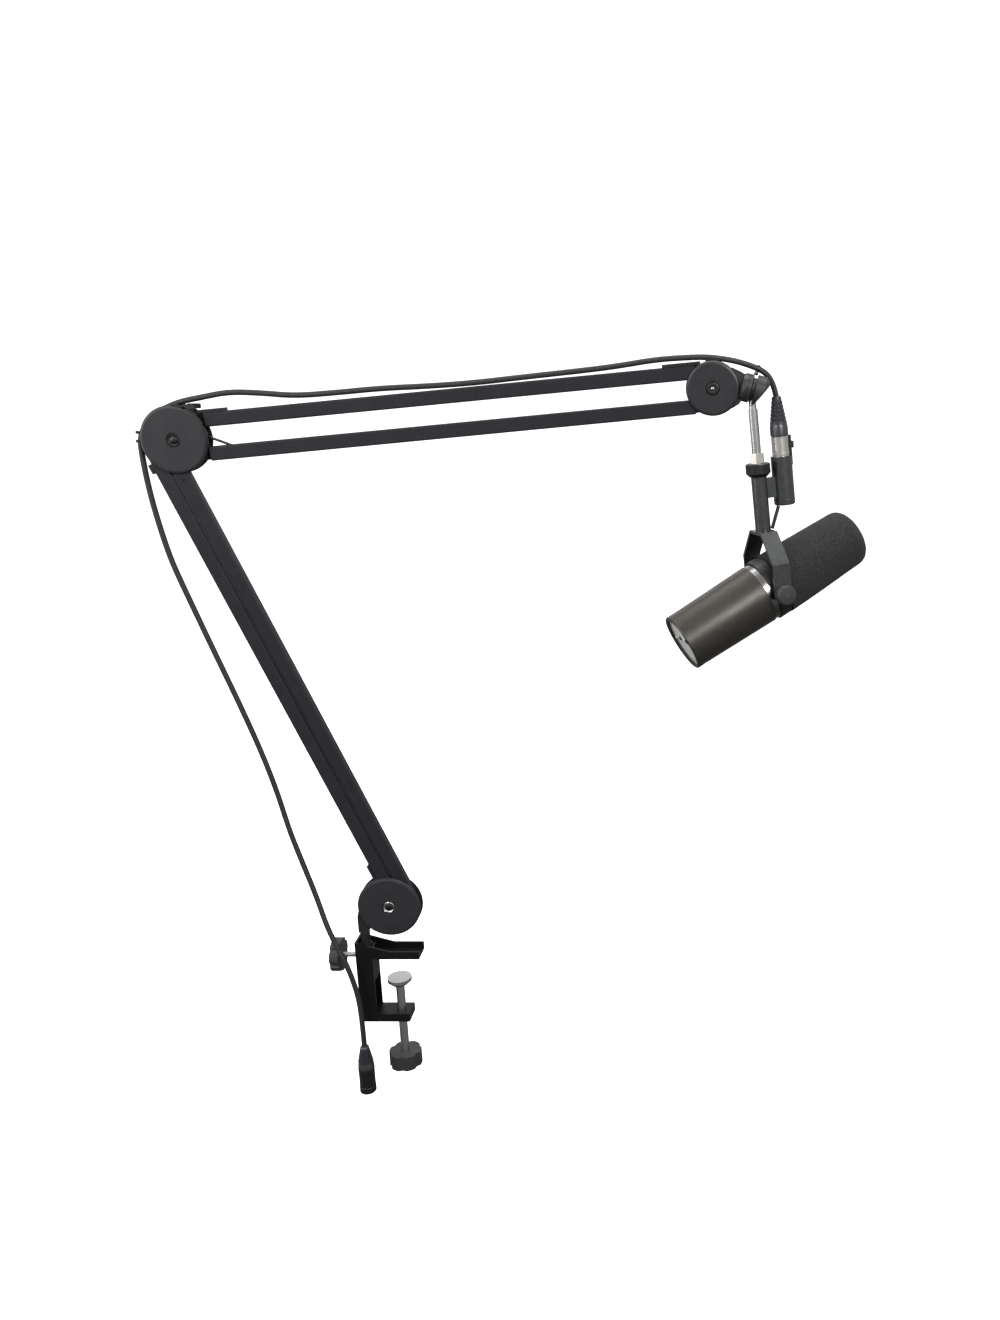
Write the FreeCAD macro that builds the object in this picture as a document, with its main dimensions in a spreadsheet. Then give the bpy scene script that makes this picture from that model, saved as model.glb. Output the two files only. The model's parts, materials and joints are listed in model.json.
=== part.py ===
import FreeCAD
import Part
import math
import os
import re
import Sketcher

# A broadcast microphone in a yoke, hung from a desk-clamped boom arm of two parallelograms.
# Frame: origin on the clamp's upper jaw where it meets the desk, +X over the desk, +Z up.
# The arm lies in the XZ plane.

DIMENSIONS = {
    # arm
    "bar_width": 14.6,
    "bar_depth": 10.0,
    "bar_wall": 1.2,
    "bar_corner": 1.6,
    "eye_radius": 6.2,
    "pin_radius": 2.5,
    "pin_play": 0.05,
    "plate_gap": 10.6,
    "plate_depth": 3.7,
    "base_radius": 36,
    "elbow_radius": 35,
    "head_radius": 27.5,
    "strap_depth": 3,
    "plug_reach": 16,
    # clamp
    "frame_width": 26,
    "post_radius": 5.5,
    "jaw_left": 45.3,
    "jaw_right": 28.4,
    "desk_edge": 26,
    "throat": 72,
    "clamp_screw_radius": 5,
    "lock_screw_radius": 3,
    # swivel and mount
    "rod_radius": 4.75,
    "collar_radius": 11.5,
    "flange_radius": 14.5,
    "swivel_radius": 15.5,
    "stud_radius": 4,
    "tube_radius": 8.2,
    "yoke_width": 19,
    "yoke_plate": 3,
    "yoke_half": 40.5,
    "xlr_offset": 27.3,
    "xlr_radius": 11.2,
    "knob_radius": 10.5,
    # microphone
    "mic_rear_radius": 31.2,
    "mic_front_radius": 33,
    "core_radius": 34.4,
    "foam_rear_radius": 35,
    "foam_front_radius": 31.5,
    "mic_rear": 112,
    "mic_front": 118,
    # lead
    "cable_radius": 3,
}

# Pose and layout, in millimetres and degrees.
LOWER_LEAN = 22.68
UPPER_RISE = 5.4
BAR_SPACING = 17.2
UPPER_SPACING = 34.8
PIVOT_STAGGER = 16.0
POST_X = -35.7
LOCK_HEIGHT = -0.3
BASE_CENTRE = (-3.4, 64.3)
ELBOW_CENTRE = (-185.0, 595.5)
HEAD_CENTRE = (370.5, 647.2)
COLLAR_CENTRE = (409.8, 646.5)
# Where each pair of bars ends, midway between its two pivots, from the centre of the disc there.
LOWER_END_AT_BASE = (20.83, -5.53)
LOWER_END_AT_ELBOW = (-18.04, -9.23)
UPPER_END_AT_ELBOW = (24.0, 1.77)
UPPER_END_AT_HEAD = (-9.0, -0.6)
SWIVEL_TILT = 15.0
HANG_LEAN = 5.4
HANG_LENGTH = 209.2
MOUNT_YAW = 21.5
MIC_RISE = 22.4

doc = FreeCAD.newDocument("boom_microphone")
sheet = doc.addObject("Spreadsheet::Sheet", "Dims")
for row, (alias, number) in enumerate(DIMENSIONS.items(), start=1):
    sheet.set(f"A{row}", alias)
    sheet.set(f"B{row}", str(number))
    sheet.setAlias(f"B{row}", alias)
doc.recompute()

Vector = FreeCAD.Vector
X, Y, Z = Vector(1, 0, 0), Vector(0, 1, 0), Vector(0, 0, 1)
nodes = []


def dim(alias):
    return float(sheet.get(alias))


def formula(text):
    """A size in words becomes an expression on the sheet."""
    return re.sub(r"[a-z]\w*", lambda word: "Dims." + word.group(), str(text))


def place(shape, origin=(0, 0, 0), turn=FreeCAD.Rotation()):
    shape.Placement = FreeCAD.Placement(Vector(*origin), turn)
    return shape


def box(name, size, low):
    shape = doc.addObject("Part::Box", name)
    for prop, text in zip(("Length", "Width", "Height"), size):
        shape.setExpression(prop, formula(text))
    return place(shape, low)


def cylinder(name, radius, length, base, axis=Z):
    shape = doc.addObject("Part::Cylinder", name)
    shape.setExpression("Radius", formula(radius))
    shape.setExpression("Height", formula(length))
    return place(shape, base, FreeCAD.Rotation(Z, axis))


def cone(name, first, second, length, base, axis=Z):
    shape = doc.addObject("Part::Cone", name)
    shape.setExpression("Radius1", formula(first))
    shape.setExpression("Radius2", formula(second))
    shape.setExpression("Height", formula(length))
    return place(shape, base, FreeCAD.Rotation(Z, axis))


def joined(name, pieces):
    shape = doc.addObject("Part::MultiFuse", name)
    shape.Shapes = pieces
    shape.Refine = True
    return shape


def cut(name, base, tools):
    shape = doc.addObject("Part::Cut", name)
    shape.Base = base
    shape.Tool = tools[0] if len(tools) == 1 else joined(name + "_tools", tools)
    return shape


def group(name, pieces):
    shape = doc.addObject("Part::Compound", name)
    shape.Links = pieces
    return shape


def node(name, shape, origin=(0, 0, 0), turn=FreeCAD.Rotation()):
    """Name a finished piece, and set it in the assembly when it was built in a frame of its own."""
    shape.Label = name
    shape.Placement = FreeCAD.Placement(Vector(*origin), turn).multiply(shape.Placement)
    nodes.append(shape)
    return shape


def outline(body, name, plane, corners):
    """A closed sketch through corners whose coordinates are sizes from the sheet."""
    sketch = body.newObject("Sketcher::SketchObject", name)
    planes = [f for f in body.Origin.OriginFeatures if f.Role == plane]
    sketch.AttachmentSupport = (planes[0], "")
    sketch.MapMode = "FlatFace"
    count = len(corners)
    rough = [Vector(20 * math.cos(6.28 * i / count), 20 * math.sin(6.28 * i / count), 0) for i in range(count)]
    for i in range(count):
        sketch.addGeometry(Part.LineSegment(rough[i], rough[(i + 1) % count]))
    for i in range(count):
        sketch.addConstraint(Sketcher.Constraint("Coincident", i, 2, (i + 1) % count, 1))
    for i, corner in enumerate(corners):
        for kind, text in zip(("DistanceX", "DistanceY"), corner):
            index = sketch.addConstraint(Sketcher.Constraint(kind, -1, 1, i, 1, 10.0))
            sketch.setExpression(f"Constraints[{index}]", formula(text))
    return sketch


def turned(name, profile):
    """A piece of revolution about Z from (radius, height) corners."""
    body = doc.addObject("PartDesign::Body", name)
    sketch = outline(body, name + "_profile", "XZ_Plane", profile)
    turn = body.newObject("PartDesign::Revolution", name + "_turn")
    turn.Profile = sketch
    turn.ReferenceAxis = (sketch, ["V_Axis"])
    turn.Angle = 360
    return body


def plate(name, plane, corners, depth):
    """A flat piece, its thickness centred on the plane."""
    body = doc.addObject("PartDesign::Body", name)
    sketch = outline(body, name + "_outline", plane, corners)
    pad = body.newObject("PartDesign::Pad", name + "_pad")
    pad.Profile = sketch
    pad.SideType = "Symmetric"
    pad.setExpression("Length", formula(depth))
    return body


def ring(name, outer, inner, low, high):
    return turned(name, [(inner, low), (outer, low), (outer, high), (inner, high)])


def in_plane(angle):
    """Rotation in the arm's plane that turns +X up by an angle in degrees."""
    return FreeCAD.Rotation(Y, -angle)


# ---------------------------------------------------------------- arm geometry

def in_arm_plane(point):
    return Vector(point[0], 0, point[1])


lean = math.radians(LOWER_LEAN)
along_lower = Vector(-math.sin(lean), 0, math.cos(lean))
across_lower = Vector(math.cos(lean), 0, math.sin(lean))
base_centre, elbow_centre, head_centre = map(in_arm_plane, (BASE_CENTRE, ELBOW_CENTRE, HEAD_CENTRE))

lower_line_base = base_centre + in_arm_plane(LOWER_END_AT_BASE)
lower_line_elbow = elbow_centre + in_arm_plane(LOWER_END_AT_ELBOW)
lower_span = lower_line_elbow - lower_line_base
lower_offset = across_lower * (BAR_SPACING / 2) + along_lower * (PIVOT_STAGGER / 2)
base_main, base_second = lower_line_base - lower_offset, lower_line_base + lower_offset
elbow_low_main, elbow_low_second = base_main + lower_span, base_second + lower_span

upper_line_elbow = elbow_centre + in_arm_plane(UPPER_END_AT_ELBOW)
upper_line_head = head_centre + in_arm_plane(UPPER_END_AT_HEAD)
upper_span = upper_line_head - upper_line_elbow
upper_offset = Vector(0, 0, UPPER_SPACING / 2)
elbow_up_main, elbow_up_second = upper_line_elbow + upper_offset, upper_line_elbow - upper_offset
head_main, head_second = elbow_up_main + upper_span, elbow_up_second + upper_span


# ---------------------------------------------------------------- clamp

def clamp_frame():
    half = dim("frame_width") / 2
    left, right, throat = -dim("jaw_left"), dim("jaw_right"), dim("throat")
    reach = "jaw_left + jaw_right"
    flange = [("-jaw_left", 0), ("jaw_right", 0), ("jaw_right", 9.5), (-6, 9.5), ("-jaw_left", 21)]
    flanges = []
    for side, y in (("near", -half + 1.1), ("far", half - 1.1)):
        flanges.append(place(plate("flange_" + side, "XZ_Plane", flange, 2.2), (0, y, 0)))
    solid = joined("clamp_blank", flanges + [
        box("jaw_floor", (reach, "frame_width", 2.4), (left, -half, 0)),
        box("socket_block", ("jaw_left - desk_edge", "frame_width", 42), (left, -half, -30)),
        box("back_wall", (2.4, "frame_width", 21), (left, -half, 0)),
        box("spine", (9, "frame_width", "throat - 28"), (left, -half, -throat)),
        box("spine_rib_near", ("jaw_left - desk_edge", 2.6, "throat - 28"), (left, -half, -throat)),
        box("spine_rib_far", ("jaw_left - desk_edge", 2.6, "throat - 28"), (left, half - 2.6, -throat)),
        box("lower_jaw", ("jaw_left + 12", "frame_width", 10), (left, -half, -throat - 10)),
    ])
    return cut("clamp_frame_body", solid, [
        cylinder("post_bore", "post_radius + pin_play", 40, (POST_X, 0, -26)),
        cylinder("lock_hole", "lock_screw_radius + pin_play", 8, (left - 1, 0, LOCK_HEIGHT), X),
        cylinder("screw_hole", "clamp_screw_radius + pin_play", 12, (0, 0, -throat - 11)),
    ])


def fluted(name, radius, length, flutes, flute_radius, flute_place):
    blank = cylinder(name + "_blank", radius, length, (0, 0, 0))
    tools = []
    for i in range(flutes):
        angle = 2 * math.pi * (i + 0.5) / flutes
        spot = (flute_place * math.cos(angle), flute_place * math.sin(angle), -1)
        tools.append(cylinder(f"{name}_flute_{i}", flute_radius, f"{length} + 2", spot))
    return cut(name + "_body", blank, tools)


node("clamp_frame", clamp_frame())
node("clamp_screw", cylinder("screw_rod", "clamp_screw_radius", 101.7, (0, 0, -138)))
node("clamp_handle", cut("handle_body", fluted("handle", 19, 18, 6, 5.5, 22.5), [
    cylinder("handle_socket", "clamp_screw_radius", 12, (0, 0, 8)),
]), (0, 0, -146))
node("pressure_pad", turned("pad_cup", [
    (0, -36), (7, -36), (7, -38.5), (9.5, -38.5), (14, -34), (14, -30), (0, -30)]))
node("lock_screw", cylinder("lock_rod", "lock_screw_radius", 29, (-70.5, 0, LOCK_HEIGHT), X))
node("lock_knob", cut("lock_knob_bored", fluted("lock_knob", 19.5, 10.5, 7, 5, 22.5), [
    cylinder("lock_knob_socket", "lock_screw_radius", 8, (0, 0, 4)),
]), (-74.5, 0, LOCK_HEIGHT), FreeCAD.Rotation(Z, X))


# ---------------------------------------------------------------- arm joints: plates, pins, screws

def joint_plates(name, centre, radius, pins):
    """Two chamfered discs on either side of the bars, drilled for their pins."""
    profile = [
        (0, "plate_gap / 2"), (radius, "plate_gap / 2"), (radius, "plate_gap / 2 + plate_depth - 2.2"),
        (f"{radius} - 0.9", "plate_gap / 2 + plate_depth - 0.7"),
        (f"{radius} - 2.8", "plate_gap / 2 + plate_depth"), (7.4, "plate_gap / 2 + plate_depth"),
        (6.6, "plate_gap / 2 + plate_depth - 1.9"), (0, "plate_gap / 2 + plate_depth - 1.9"),
    ]

    def pin_rod(label, pin):
        start = pin - Y * (dim("plate_gap") / 2 + 1.5)
        return cylinder(f"{name}_{label}", "pin_radius", "plate_gap + 3", start, Y)

    discs, screws = [], []
    for side, outward in (("front", Vector(0, -1, 0)), ("back", Y)):
        disc = turned(f"{name}_disc_{side}", profile)
        place(disc, centre, FreeCAD.Rotation(Z, outward))
        drills = [pin_rod(f"{side}_seat_{i}", pin) for i, pin in enumerate(pins)]
        inner_face = centre + outward * (dim("plate_gap") / 2 - 1)
        drills.append(cylinder(f"{name}_{side}_screw_hole", 2.2, 6, inner_face, outward))
        discs.append(cut(f"{name}_plate_{side}", disc, drills))
        screws.append(place(turned(f"{name}_screw_{side}", [
            (0, 5.4), (2.2, 5.4), (2.2, 7.1), (4.2, 7.1), (4.2, 8.0), (2.6, 8.8), (0, 9.0)]),
            centre, FreeCAD.Rotation(Z, outward)))
    rods = [pin_rod(f"pin_{i}", pin) for i, pin in enumerate(pins)]
    node(f"{name}_plates", group(f"{name}_plate_pair", discs))
    node(f"{name}_fasteners", group(f"{name}_fastener_set", rods + screws))


joint_plates("base", base_centre, "base_radius", [base_main, base_second])
joint_plates("elbow", elbow_centre, "elbow_radius",
             [elbow_low_main, elbow_low_second, elbow_up_main, elbow_up_second])
joint_plates("head", head_centre, "head_radius", [head_main, head_second])

node("base_post", joined("base_post_body", [
    place(plate("base_bracket", "XZ_Plane", [
        (-33, 8), (-28.5, 9), (-22, 1), (7, -24), (10, -33), (-10, -33), (-24, -26), (-27.2, -30),
        (-27.2, -34), (-38.2, -34), (-38.2, -14)], "plate_gap"), base_centre),
    cylinder("post", "post_radius", 64, (POST_X, 0, -25)),
    cylinder("post_shoulder", "post_radius + 1.5", 3, (POST_X, 0, 12.3)),
]))


# ---------------------------------------------------------------- arm bars

def bar_tube(name, length, start, finish, openings):
    """Rectangular tube along +X between two pivots, its long corners rounded."""
    half_width, half_depth, wall = dim("bar_width") / 2, dim("bar_depth") / 2, dim("bar_wall")
    long = length - start - finish
    outer = box(name + "_outer", (long, "bar_depth", "bar_width"), (start, -half_depth, -half_width))
    doc.recompute()
    edges = [i for i, edge in enumerate(outer.Shape.Edges, start=1) if edge.Length > long - 0.01]
    rounded = doc.addObject("Part::Fillet", name + "_rounded")
    rounded.Base = outer
    rounded.Edges = [(i, dim("bar_corner"), dim("bar_corner")) for i in edges]
    tools = [box(name + "_inner", (long + 2, "bar_depth - 2 * bar_wall", "bar_width - 2 * bar_wall"),
                 (start - 1, wall - half_depth, wall - half_width))]
    return cut(name + "_hollow", rounded, tools + openings)


def bar_end(name, pivot_x, toward, start, layer, strap):
    """Eye, plate and plug that close a bar's end, with a strap along the outer side of an outer bar."""
    half_width, wall = dim("bar_width") / 2, dim("bar_wall")
    low_y = -dim("bar_depth") / 2 if layer < 0 else 0.3
    thick = "bar_depth / 2 - 0.3"

    def span(near, far):
        return pivot_x + toward * near if toward > 0 else pivot_x - far

    pieces = [
        cylinder(name + "_eye", "eye_radius", thick, (pivot_x, low_y, 0), Y),
        box(name + "_web", (start, thick, "2 * eye_radius"), (span(0, start), low_y, -dim("eye_radius"))),
        box(name + "_plug", ("plug_reach", "bar_depth - 2 * bar_wall", "bar_width - 2 * bar_wall"),
            (span(start, start + dim("plug_reach")), wall - dim("bar_depth") / 2, wall - half_width)),
    ]
    if strap:
        pieces.append(box(name + "_strap", (strap - 3, "bar_depth", "strap_depth"),
                          (span(3, strap), -dim("bar_depth") / 2, half_width)))
        pieces.append(box(name + "_strap_root", (start - 3, thick, "strap_depth + 2"),
                          (span(3, start), low_y, half_width - 2)))
    return cut(name + "_piece", joined(name + "_blank", pieces), [
        cylinder(name + "_hole", "pin_radius + pin_play", 20, (pivot_x, -10, 0), Y)])


def bar(name, pivot, span, starts, layer, straps, openings=()):
    length = span.Length
    turn = in_plane(math.degrees(math.atan2(span.z, span.x)))
    node(name + "_tube", bar_tube(name, length, starts[0], starts[1], list(openings)), pivot, turn)
    ends = [
        bar_end(name + "_end_a", 0, 1, starts[0], layer, straps[0]),
        bar_end(name + "_end_b", length, -1, starts[1], layer, straps[1]),
    ]
    node(name + "_ends", group(name + "_end_pair", ends), pivot, turn)


bar("lower_main", base_main, lower_span, (9, 9), -1, (75.5, 13))
bar("lower_second", base_second, lower_span, (9, 37), -1, (0, 0),
    [cylinder("spring_peg_hole", 1.3, 4, (lower_span.Length - 46.5, -7, 0), Y)])
bar("upper_main", elbow_up_main, upper_span, (9, 9), 1, (31, 42))
bar("upper_second", elbow_up_second, upper_span, (11, 9), 1, (0, 0),
    [box("link_slot", (25, 3, 4), (27, -1.5, 4.7))])


def wire(name, radius, points):
    """Straight stretches of round wire with a ball at each bend."""
    pieces = []
    for i in range(len(points) - 1):
        step = points[i + 1] - points[i]
        pieces.append(cylinder(f"{name}_run_{i}", radius, step.Length, points[i], step))
        if i:
            ball = doc.addObject("Part::Sphere", f"{name}_bend_{i}")
            ball.Radius = radius
            pieces.append(place(ball, points[i]))
    return joined(name + "_wire", pieces) if len(pieces) > 1 else pieces[0]


# Each spring lies inside a bar. The upper one is hooked to the elbow by a wire through the bar's slot.
lower_coil = ring("lower_spring_coil", 3.5, 2.3, 40, 360)
node("lower_spring", lower_coil, base_second, FreeCAD.Rotation(Z, lower_span))

upper_turn = in_plane(UPPER_RISE)
coil = place(ring("upper_spring_coil", 3.5, 2.3, 62, 330), (0, 0, 0), FreeCAD.Rotation(Z, X))
hook = wire("spring_hook", 1.35, [Vector(3, 0, 21), Vector(38, 0, 4.1), Vector(62, 0, 2.6)])
node("upper_spring", group("upper_spring_set", [coil, hook]), elbow_up_second, upper_turn)


# ---------------------------------------------------------------- head nose and swivel

tilt = math.radians(SWIVEL_TILT)
swivel_axis = Vector(math.cos(tilt), 0, -math.sin(tilt))
swivel_turn = FreeCAD.Rotation(Z, swivel_axis)
hang = math.radians(HANG_LEAN)
hang_down = Vector(math.sin(hang), 0, -math.cos(hang))
collar_centre = in_arm_plane(COLLAR_CENTRE)
flange_face = collar_centre - swivel_axis * 6.8

node("head_nose", cut("head_nose_body", joined("head_nose_blank", [
    place(plate("nose_plate", "XZ_Plane", [
        (3, -8), (14, -20.5), (20, -20), (27, -15.6), (29.6, -12), (34.5, 13), (29, 16.4), (20, 20.5),
        (14, 20.5), (3, 8)], "plate_gap"), head_centre),
    cone("nose_flare", 13, "flange_radius", 3.4, flange_face - swivel_axis * 3.4, swivel_axis),
    cylinder("nose_flange", "flange_radius", 2.5, flange_face, swivel_axis),
]), [cylinder("nose_bore", "stud_radius + pin_play", 12, flange_face - swivel_axis * 9, swivel_axis)]))


def rod_seat(name):
    return cylinder(name, 3.8, 30, collar_centre + hang_down * 9.5, hang_down)


node("swivel_collar", cut("collar_body", place(turned("collar_blank", [
    ("stud_radius + pin_play", 2.8), ("flange_radius", 2.8), ("flange_radius", 6.4), ("collar_radius", 7.6),
    ("collar_radius", 10.8), ("stud_radius + pin_play", 10.8)]), flange_face, swivel_turn),
    [rod_seat("collar_seat")]))

slant = math.radians(26.4)
swivel_down = Vector(-math.sin(tilt), 0, -math.cos(tilt))
slant_axis = swivel_axis * math.cos(slant) + swivel_down * math.sin(slant)
node("swivel_head", cut("swivel_head_body", place(turned("swivel_head_blank", [
    ("stud_radius + pin_play", 10.8), ("swivel_radius", 10.8), ("swivel_radius", 20),
    ("swivel_radius - 4", 24.2), ("stud_radius + pin_play", 24.2)]), flange_face, swivel_turn), [
        cylinder("swivel_head_slant", 30, 15, flange_face + swivel_axis * 20.2, slant_axis),
        cylinder("swivel_head_recess", 7, 20, flange_face + swivel_axis * 14, swivel_axis),
        rod_seat("swivel_head_seat")]))
socket = cylinder("swivel_screw_socket", 2.6, 3, flange_face + swivel_axis * 14.8, swivel_axis)
node("swivel_screw", cut("swivel_screw_body", place(turned("swivel_screw_blank", [
    (0, -8.5), ("stud_radius", -8.5), ("stud_radius", 14.2), (6.6, 14.2), (6.6, 16.2), (6.1, 16.7), (0, 16.7)]),
    flange_face, swivel_turn), [socket]))
node("swivel_rod", joined("rod_body", [
    cylinder("rod_neck", 3.8, 12, collar_centre + hang_down * 9.5, hang_down),
    cylinder("rod_shaft", "rod_radius", HANG_LENGTH - 100 - 20.5, collar_centre + hang_down * 20.5, hang_down),
]))

mount_origin = collar_centre + hang_down * HANG_LENGTH
mount_turn = FreeCAD.Rotation(Y, -HANG_LEAN).multiply(FreeCAD.Rotation(Z, MOUNT_YAW))


def hexagon(name, radius, low, high):
    prism = doc.addObject("Part::Prism", name)
    prism.Polygon = 6
    prism.Circumradius = radius
    prism.Height = high - low
    return place(prism, (0, 0, low))


node("rod_nut", cut("rod_nut_body", hexagon("rod_nut_blank", 7.7, 133.3, 143.5), [
    cylinder("rod_nut_bore", "rod_radius", 20, (0, 0, 130))]), mount_origin, mount_turn)


# ---------------------------------------------------------------- mount: tube, yoke, connector

node("mount_tube", turned("mount_tube_body", [
    (0, 62), ("tube_radius", 62), ("tube_radius", 119.3), ("rod_radius + pin_play", 119.3),
    ("rod_radius + pin_play", 97), (0, 97)]), mount_origin, mount_turn)

nut_grooves = [
    cylinder(f"nut_groove_{i}", 1.3, 16, (13.9 * math.cos(math.radians(30 * i)),
                                          13.9 * math.sin(math.radians(30 * i)), 119))
    for i in range(12)
]
node("mount_nut", cut("mount_nut_body", turned("mount_nut_blank", [
    ("rod_radius + pin_play", 119.3), (9.4, 119.3), (13, 123), (13, 131.8), (11.8, 133),
    ("rod_radius + pin_play", 133)]), nut_grooves), mount_origin, mount_turn)


def yoke():
    inner = "yoke_half - yoke_plate"
    strip = plate("yoke_strip", "YZ_Plane", [
        ("-yoke_half", 0), ("-yoke_half", 31.6), (-15.2, 62), (15.2, 62), ("yoke_half", 31.6), ("yoke_half", 0),
        (inner, 0), (inner, 30.4), (14, 59), (-14, 59), (f"-({inner})", 30.4), (f"-({inner})", 0)], "yoke_width")
    half, thick = dim("yoke_half"), dim("yoke_plate")
    ends = [
        cylinder("yoke_end_near", "yoke_width / 2", "yoke_plate", (0, -half, 0), Y),
        cylinder("yoke_end_far", "yoke_width / 2", "yoke_plate", (0, half - thick, 0), Y),
    ]
    return cut("yoke_body", joined("yoke_blank", [strip] + ends), [
        cylinder("yoke_holes", "lock_screw_radius + pin_play", 100, (0, -50, 0), Y)])


node("yoke", yoke(), mount_origin, mount_turn)

offset = dim("xlr_offset")
barrel = place(turned("xlr_barrel_blank", [
    (0, 86.5), ("xlr_radius - 1", 86.5), ("xlr_radius", 87.5), ("xlr_radius", 137.4), (8.65, 137.4),
    (8.65, 118.9), (0, 118.9)]), (offset, 0, 0))
web = cut("xlr_web", box("xlr_web_blank", (17, 8, 21), (2, -4, 96)), [
    cylinder("xlr_web_seat", "tube_radius", 60, (0, 0, 80)),
])
node("xlr_barrel", cut("xlr_barrel_body", joined("xlr_barrel_solid", [barrel, web]), [
    box("latch_slot", (4.1, 5.6, 12), (offset + 8.2, -2.8, 126))]), mount_origin, mount_turn)
node("latch_tab", joined("latch_body", [
    box("latch_lever", (2, 5, 31), (offset + 10, -2.5, 127)),
    box("latch_nub", (3, 5, 7), (offset + 11.5, -2.5, 144.5)),
]), mount_origin, mount_turn)
node("plug_shell", place(turned("plug_shell_body", [
    (0, 119), (8.6, 119), (8.6, 137.4), (9, 137.4), (9, 157.5), (8.4, 158.5), (0, 158.5)]), (0, 0, 0)),
    mount_origin + mount_turn.multVec(X * offset), mount_turn)
node("plug_boot", turned("plug_boot_body", [
    (0, 158.5), (9.5, 158.5), (9.5, 167), (8.7, 173), (7.4, 181), (6.2, 190), (5, 197.2), (4.4, 198),
    (0, 198)]),
    mount_origin + mount_turn.multVec(X * offset), mount_turn)
mic_lead = wire("mic_lead", 1.9, [Vector(19.8, 0, 85.6), Vector(10.4, 0, 62.6)])
node("mic_lead", mic_lead, mount_origin, mount_turn)

for side, outward in (("near", Vector(0, -1, 0)), ("far", Y)):
    knob = turned(f"knob_{side}_body", [
        (0, 31), ("lock_screw_radius", 31), ("lock_screw_radius", "yoke_half + 0.3"), (9.4, "yoke_half + 0.3"),
        ("knob_radius", "yoke_half + 1.4"), ("knob_radius", "yoke_half + 8.6"),
        ("knob_radius - 1.6", "yoke_half + 10.4"), (0, "yoke_half + 11")])
    node("knob_" + side, knob, mount_origin, mount_turn.multiply(FreeCAD.Rotation(Z, outward)))


# ---------------------------------------------------------------- microphone, built along its own axis

mic_turn = mount_turn.multiply(FreeCAD.Rotation(Y, 90 - MIC_RISE))


def mic_node(name, shape):
    return node(name, shape, mount_origin, mic_turn)


mic_node("rear_rim", turned("rear_rim_body", [
    (28.4, "-mic_rear"), (30.6, "-mic_rear"), ("mic_rear_radius + 0.2", "1.2 - mic_rear"),
    ("mic_rear_radius + 0.2", "7 - mic_rear"), (28.4, "7 - mic_rear")]))
rear_disc = ring("rear_plate_disc", 28.4, 0, "3.4 - mic_rear", "5.4 - mic_rear")
mic_node("rear_plate", cut("rear_plate_body", rear_disc, [
    box(f"switch_slot_{i}", (9, 4, 6), (-4.5, y - 2, -111)) for i, y in enumerate((-9, 9))]))
for i, y in enumerate((-9, 9)):
    mic_node(f"switch_{i + 1}", box(f"switch_body_{i}", (3.6, 3.4, 3.6), (-4.1, y - 1.7, -109.6)))
mic_node("tube_shell", turned("tube_shell_body", [
    (29, "7 - mic_rear"), ("mic_rear_radius", "7 - mic_rear"), ("mic_front_radius", -13), (30.8, -13)]))
mic_node("silver_collar", ring("silver_collar_body", 32.2, 24, -13, -6))
pivot_holes = [
    cylinder(f"pivot_hole_{i}", "lock_screw_radius + pin_play", 12, (0, y, 0), Y)
    for i, y in enumerate((-40, 28))
]
mic_node("core_ring", cut("core_ring_body", turned("core_ring_blank", [
    (22, -6), ("core_radius", -6), ("core_radius", 6.4), ("core_radius - 1.4", 7.6), (22, 7.6)]), pivot_holes))
mic_node("foam_windscreen", turned("foam_body", [
    (26.4, 7.8), ("foam_rear_radius", 7.8), ("foam_front_radius + 0.6", 92), ("foam_front_radius - 0.6", 103),
    ("foam_front_radius - 5", 112), (19, 116.8), (9, "mic_front"), (0, "mic_front"), (0, 107), (26.4, 98)]))
mic_node("grille_cage", turned("grille_body", [
    (24.6, 7.6), (26, 7.6), (26, 96), (0, 103), (0, 101.4), (24.6, 94.8)]))
mic_node("capsule", turned("capsule_body", [
    (0, -90), (17, -90), (17, -14), (21.8, -8), (21.8, 8), (17.5, 20), (17.5, 88), (0, 88)]))


# ---------------------------------------------------------------- lead

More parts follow.
